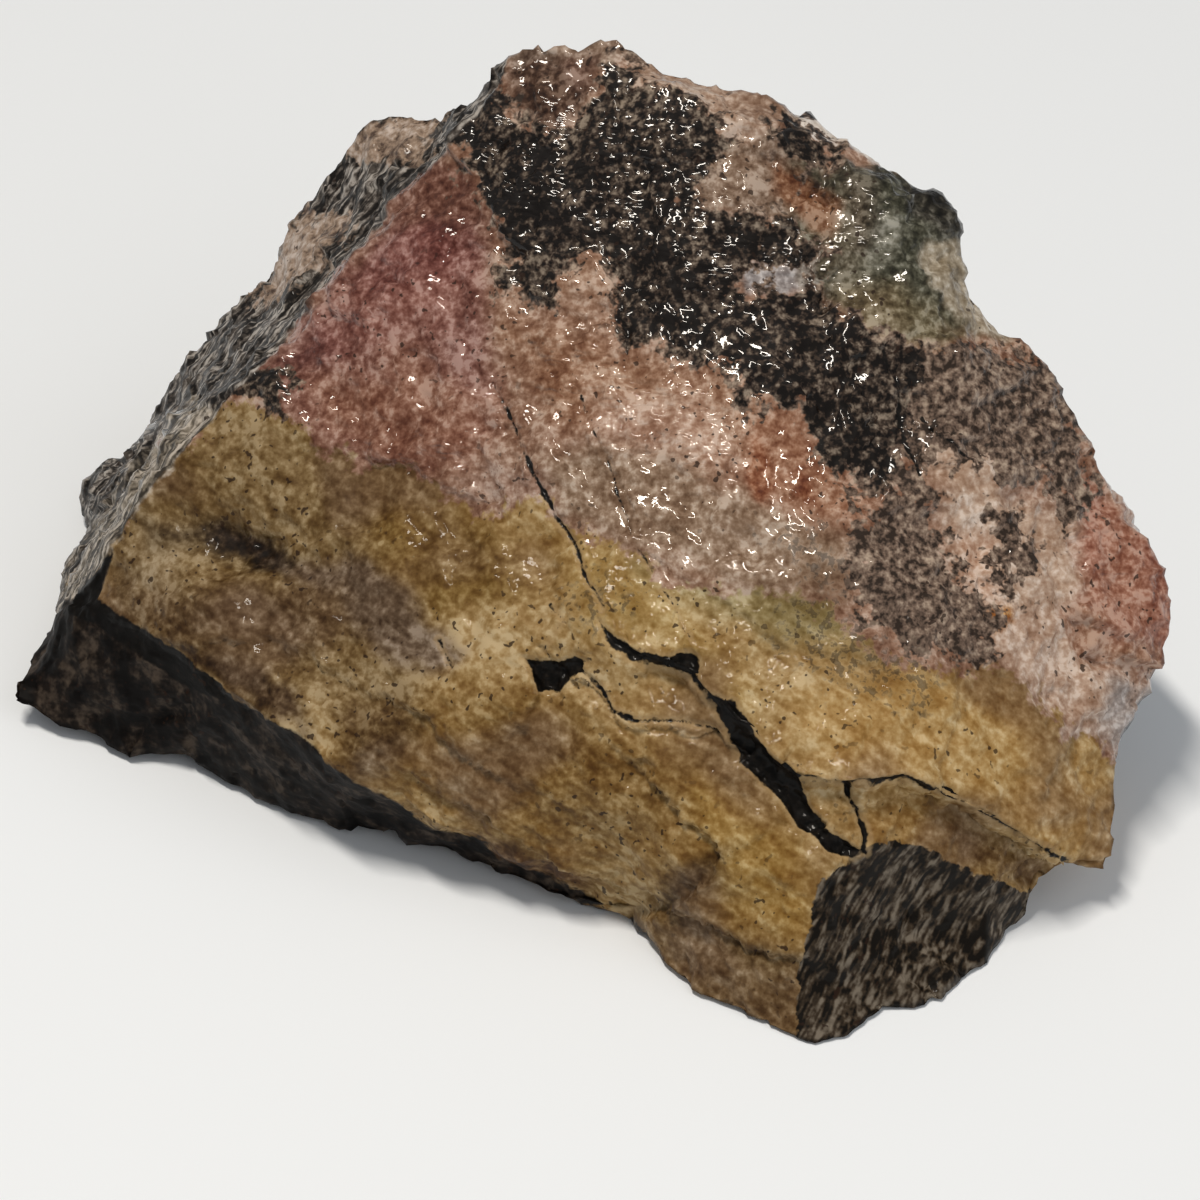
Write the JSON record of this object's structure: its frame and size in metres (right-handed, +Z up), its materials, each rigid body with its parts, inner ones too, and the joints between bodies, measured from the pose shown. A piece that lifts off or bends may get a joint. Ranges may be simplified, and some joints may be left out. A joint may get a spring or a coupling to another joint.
{
  "type": "rough rhodonite",
  "caption": "Rough broken block of rhodonite, dusty pink with black and honey-brown mineral zones and a wet gloss, resting on its flat underside.",
  "frame": {"origin": "on the table, under the middle of the stone's length and depth", "axes": "+X along the stone's longest extent, to the right when its front is seen; +Y to the back; +Z up from the face that it rests on"},
  "size_m": [0.1209, 0.0922, 0.0666],
  "materials": {
    "rhodonite": "gloss"
  },
  "bodies": {
    "root": {"rhodonite_stone": "rhodonite"}
  },
  "joints": []
}
